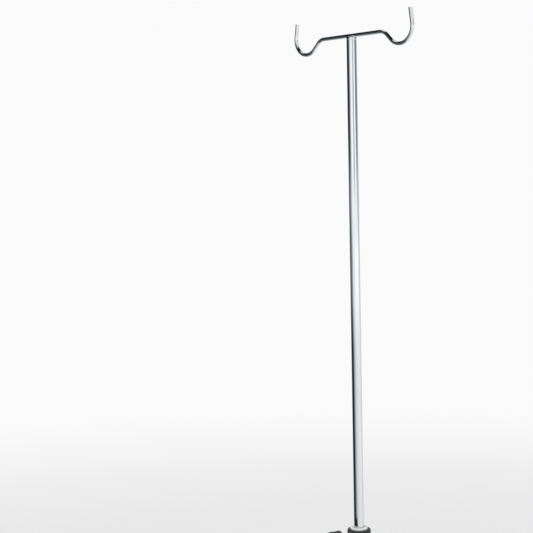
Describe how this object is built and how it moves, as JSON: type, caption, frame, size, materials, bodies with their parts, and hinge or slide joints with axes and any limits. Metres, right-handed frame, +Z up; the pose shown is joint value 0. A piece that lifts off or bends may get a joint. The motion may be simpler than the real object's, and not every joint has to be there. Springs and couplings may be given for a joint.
{
  "type": "iv drip stand",
  "caption": "Height-adjustable drip stand: chromed telescopic mast with a bent-rod twin hook, clamp knob, and a star base of tube legs on swivel castors.",
  "frame": {"origin": "on the floor, on the mast's axis, at the centre of the leg circle", "axes": "+Z up along the mast; the hanger rod runs along X with one hook at each end; the clamp knob and the two braked castors are on the -Y side"},
  "size_m": [0.5491, 0.5825, 1.9305],
  "materials": {
    "bright_chrome": "bright chrome plate on steel tube and rod",
    "zinc_steel": "bright zinc-plated steel, satin",
    "cast_aluminium": "die-cast aluminium, fine satin, lightly blasted",
    "black_nylon": "moulded black glass-filled nylon, fine grain",
    "natural_acetal": "natural white acetal",
    "pad_brass": "turned brass",
    "cap_grey": "moulded grey cap, semi-gloss",
    "wheel_nylon": "moulded light grey nylon",
    "tyre_grey": "non-marking grey thermoplastic rubber",
    "pedal_red": "moulded red nylon"
  },
  "bodies": {
    "base": {"lower_tube": "bright_chrome", "clamp_collar": "black_nylon", "collar_liner": "natural_acetal", "collar_set_screws": "zinc_steel", "base_hub": "cast_aluminium", "hub_trim_ring": "black_nylon", "lower_tube_plug": "zinc_steel", "mast_bolt": "zinc_steel", "mast_bolt_washer": "zinc_steel", "leg_screws": "zinc_steel", "leg_1": "bright_chrome", "castor_socket_1": "black_nylon", "castor_stem_1": "zinc_steel", "leg_2": "bright_chrome", "castor_socket_2": "black_nylon", "castor_stem_2": "zinc_steel", "leg_3": "bright_chrome", "castor_socket_3": "black_nylon", "castor_stem_3": "zinc_steel", "leg_4": "bright_chrome", "castor_socket_4": "black_nylon", "castor_stem_4": "zinc_steel", "leg_5": "bright_chrome", "castor_socket_5": "black_nylon", "castor_stem_5": "zinc_steel"},
    "mast_slider": {"guide_bush": "natural_acetal"},
    "mast": {"upper_tube": "bright_chrome", "mast_foot_plug": "zinc_steel", "stop_sleeve": "zinc_steel", "mast_top_plug": "bright_chrome", "hook_bar": "bright_chrome"},
    "clamp_pad": {"clamp_pad": "pad_brass"},
    "clamp_screw": {"clamp_stud": "zinc_steel", "clamp_knob": "black_nylon", "knob_cap": "cap_grey"},
    "castor_1": {"castor_fork_1": "zinc_steel", "castor_axle_1": "zinc_steel"},
    "wheel_1": {"castor_wheel_1": "wheel_nylon", "castor_tyre_1": "tyre_grey"},
    "castor_2": {"castor_fork_2": "zinc_steel", "castor_axle_2": "zinc_steel"},
    "wheel_2": {"castor_wheel_2": "wheel_nylon", "castor_tyre_2": "tyre_grey"},
    "castor_3": {"castor_fork_3": "zinc_steel", "castor_axle_3": "zinc_steel"},
    "wheel_3": {"castor_wheel_3": "wheel_nylon", "castor_tyre_3": "tyre_grey"},
    "castor_4": {"castor_fork_4": "zinc_steel", "castor_axle_4": "zinc_steel"},
    "wheel_4": {"castor_wheel_4": "wheel_nylon", "castor_tyre_4": "tyre_grey"},
    "castor_5": {"castor_fork_5": "zinc_steel", "castor_axle_5": "zinc_steel"},
    "wheel_5": {"castor_wheel_5": "wheel_nylon", "castor_tyre_5": "tyre_grey"},
    "brake_3": {"brake_pedal_3": "pedal_red"},
    "brake_4": {"brake_pedal_4": "pedal_red"}
  },
  "joints": [
    {"name": "mast_height", "type": "slide", "parent": "base", "child": "mast_slider", "axis": [0, 0, 1], "range_m": [-0.645, 0.2]},
    {"name": "mast_turn", "type": "hinge", "parent": "mast_slider", "child": "mast", "pos_m": [0, 0, 1.9], "axis": [0, 0, 1], "continuous": true},
    {"name": "clamp_travel", "type": "slide", "parent": "base", "child": "clamp_pad", "axis": [0, 1, 0], "range_m": [-0.0025, 0]},
    {"name": "clamp_turn", "type": "hinge", "parent": "clamp_pad", "child": "clamp_screw", "pos_m": [0, -0.05, 1.093], "axis": [0, 1, 0], "range_deg": [-721, 0]},
    {"name": "castor_1_swivel", "type": "hinge", "parent": "base", "child": "castor_1", "pos_m": [0, 0.27, 0.07], "axis": [0, 0, 1], "continuous": true},
    {"name": "wheel_1_spin", "type": "hinge", "parent": "castor_1", "child": "wheel_1", "pos_m": [0, 0.246, 0.03], "axis": [1, 0, 0], "continuous": true},
    {"name": "castor_2_swivel", "type": "hinge", "parent": "base", "child": "castor_2", "pos_m": [-0.25678, 0.08343, 0.07], "axis": [0, 0, 1], "continuous": true},
    {"name": "wheel_2_spin", "type": "hinge", "parent": "castor_2", "child": "wheel_2", "pos_m": [-0.25678, 0.05944, 0.03], "axis": [1, 0, 0], "continuous": true},
    {"name": "castor_3_swivel", "type": "hinge", "parent": "base", "child": "castor_3", "pos_m": [-0.1587, -0.21843, 0.07], "axis": [0, 0, 1], "continuous": true},
    {"name": "wheel_3_spin", "type": "hinge", "parent": "castor_3", "child": "wheel_3", "pos_m": [-0.1587, -0.24244, 0.03], "axis": [1, 0, 0], "continuous": true},
    {"name": "castor_4_swivel", "type": "hinge", "parent": "base", "child": "castor_4", "pos_m": [0.1587, -0.21843, 0.07], "axis": [0, 0, 1], "continuous": true},
    {"name": "wheel_4_spin", "type": "hinge", "parent": "castor_4", "child": "wheel_4", "pos_m": [0.1587, -0.24244, 0.03], "axis": [1, 0, 0], "continuous": true},
    {"name": "castor_5_swivel", "type": "hinge", "parent": "base", "child": "castor_5", "pos_m": [0.25678, 0.08343, 0.07], "axis": [0, 0, 1], "continuous": true},
    {"name": "wheel_5_spin", "type": "hinge", "parent": "castor_5", "child": "wheel_5", "pos_m": [0.25678, 0.05944, 0.03], "axis": [1, 0, 0], "continuous": true},
    {"name": "brake_3_press", "type": "hinge", "parent": "castor_3", "child": "brake_3", "pos_m": [-0.1587, -0.26543, 0.06], "axis": [1, 0, 0], "range_deg": [0, 20]},
    {"name": "brake_4_press", "type": "hinge", "parent": "castor_4", "child": "brake_4", "pos_m": [0.1587, -0.26543, 0.06], "axis": [1, 0, 0], "range_deg": [0, 20]}
  ],
  "couplings": [
    {"joint": "clamp_turn", "follows": "clamp_travel", "rad_per_m": 5026.5}
  ]
}
